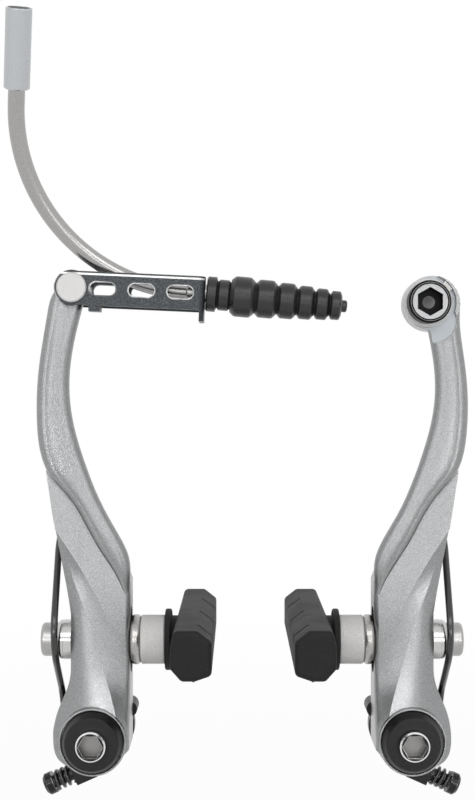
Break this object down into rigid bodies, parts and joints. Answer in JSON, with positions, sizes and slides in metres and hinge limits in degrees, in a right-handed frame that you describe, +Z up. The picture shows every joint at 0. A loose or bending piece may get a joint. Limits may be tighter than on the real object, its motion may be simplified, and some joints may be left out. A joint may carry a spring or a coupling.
{
  "type": "linear-pull bicycle brake",
  "caption": "Linear-pull bicycle brake set: sprung forged arms on frame pivots, clamped brake shoes, slotted cable link with bent guide tube and ribbed boot, cable anchor bolt.",
  "frame": {"origin": "midway between the two pivot axes, on the plane where the brake meets the frame bosses", "axes": "+X from the link's arm to the cable-bolt arm, +Y towards the bicycle frame, +Z up the arms"},
  "size_m": [0.1084, 0.072, 0.1861],
  "materials": {
    "arm_silver": "satin metallic silver",
    "bright_steel": "polished",
    "pin_silver": "plated",
    "dark_bolt": "dark plated",
    "black_steel": "black oxide",
    "black_wire": "glossy black coated wire",
    "link_black": "satin dark plating",
    "black_resin": "moulded",
    "black_rubber": "moulded",
    "matte_alloy": "bead blasted",
    "ferrule_alloy": "satin",
    "liner_plastic": "smooth"
  },
  "bodies": {
    "pivot_mounts": {"left_pivot_sleeve": "bright_steel", "left_spring_base": "black_resin", "left_stop_pin": "bright_steel", "left_pivot_bolt": "dark_bolt", "left_pivot_cap": "black_resin", "left_return_spring": "black_wire", "left_tension_spring": "black_wire", "right_pivot_sleeve": "bright_steel", "right_spring_base": "black_resin", "right_stop_pin": "bright_steel", "right_pivot_bolt": "dark_bolt", "right_pivot_cap": "black_resin", "right_return_spring": "black_wire", "right_tension_spring": "black_wire"},
    "left_arm": {"left_arm": "arm_silver", "left_spring_hook": "bright_steel", "left_brake_pad": "black_rubber", "left_shoe_post": "bright_steel", "left_thick_washer": "matte_alloy", "left_inner_cup_washer": "matte_alloy", "left_outer_cup_washer": "bright_steel", "left_outer_dome_washer": "bright_steel", "left_shoe_nut": "bright_steel", "link_pin": "pin_silver"},
    "right_arm": {"right_arm": "arm_silver", "right_spring_hook": "bright_steel", "right_brake_pad": "black_rubber", "right_shoe_post": "bright_steel", "right_thick_washer": "matte_alloy", "right_inner_cup_washer": "matte_alloy", "right_outer_cup_washer": "bright_steel", "right_outer_dome_washer": "bright_steel", "right_shoe_nut": "bright_steel", "cable_bolt": "black_steel", "cable_washer": "pin_silver"},
    "link": {"cable_link": "link_black"},
    "noodle": {"noodle_tube": "bright_steel", "noodle_liner": "liner_plastic", "noodle_ferrule": "ferrule_alloy", "noodle_nose": "bright_steel", "noodle_boot": "black_rubber"},
    "left_tension_screw": {"left_tension_screw": "black_steel"},
    "right_tension_screw": {"right_tension_screw": "black_steel"}
  },
  "joints": [
    {"name": "left_arm_pivot", "type": "hinge", "parent": "pivot_mounts", "child": "left_arm", "pos_m": [-0.0375, -0.0142, 0], "axis": [0, 1, 0], "range_deg": [-25, 3], "stiffness_Nm_per_rad": 0.6, "deforming": ["left_return_spring"]},
    {"name": "right_arm_pivot", "type": "hinge", "parent": "pivot_mounts", "child": "right_arm", "pos_m": [0.0375, -0.0142, 0], "axis": [0, -1, 0], "range_deg": [-25, 3], "stiffness_Nm_per_rad": 0.6, "deforming": ["right_return_spring"]},
    {"name": "link_pivot", "type": "hinge", "parent": "left_arm", "child": "link", "pos_m": [-0.0427, -0.013, 0.1068], "axis": [0, -1, 0], "range_deg": [0, 70]},
    {"name": "noodle_swivel", "type": "hinge", "parent": "link", "child": "noodle", "pos_m": [-0.01122, -0.013, 0.1057], "axis": [-0.9959, 0, 0.0906], "range_deg": [0, 42]},
    {"name": "left_tension_travel", "type": "slide", "parent": "pivot_mounts", "child": "left_tension_screw", "axis": [0.9135, 0, 0.4067], "range_m": [-0.0015, 0.0015], "deforming": ["left_tension_spring"]},
    {"name": "right_tension_travel", "type": "slide", "parent": "pivot_mounts", "child": "right_tension_screw", "axis": [-0.9135, 0, 0.4067], "range_m": [-0.0015, 0.0015], "deforming": ["right_tension_spring"]}
  ]
}
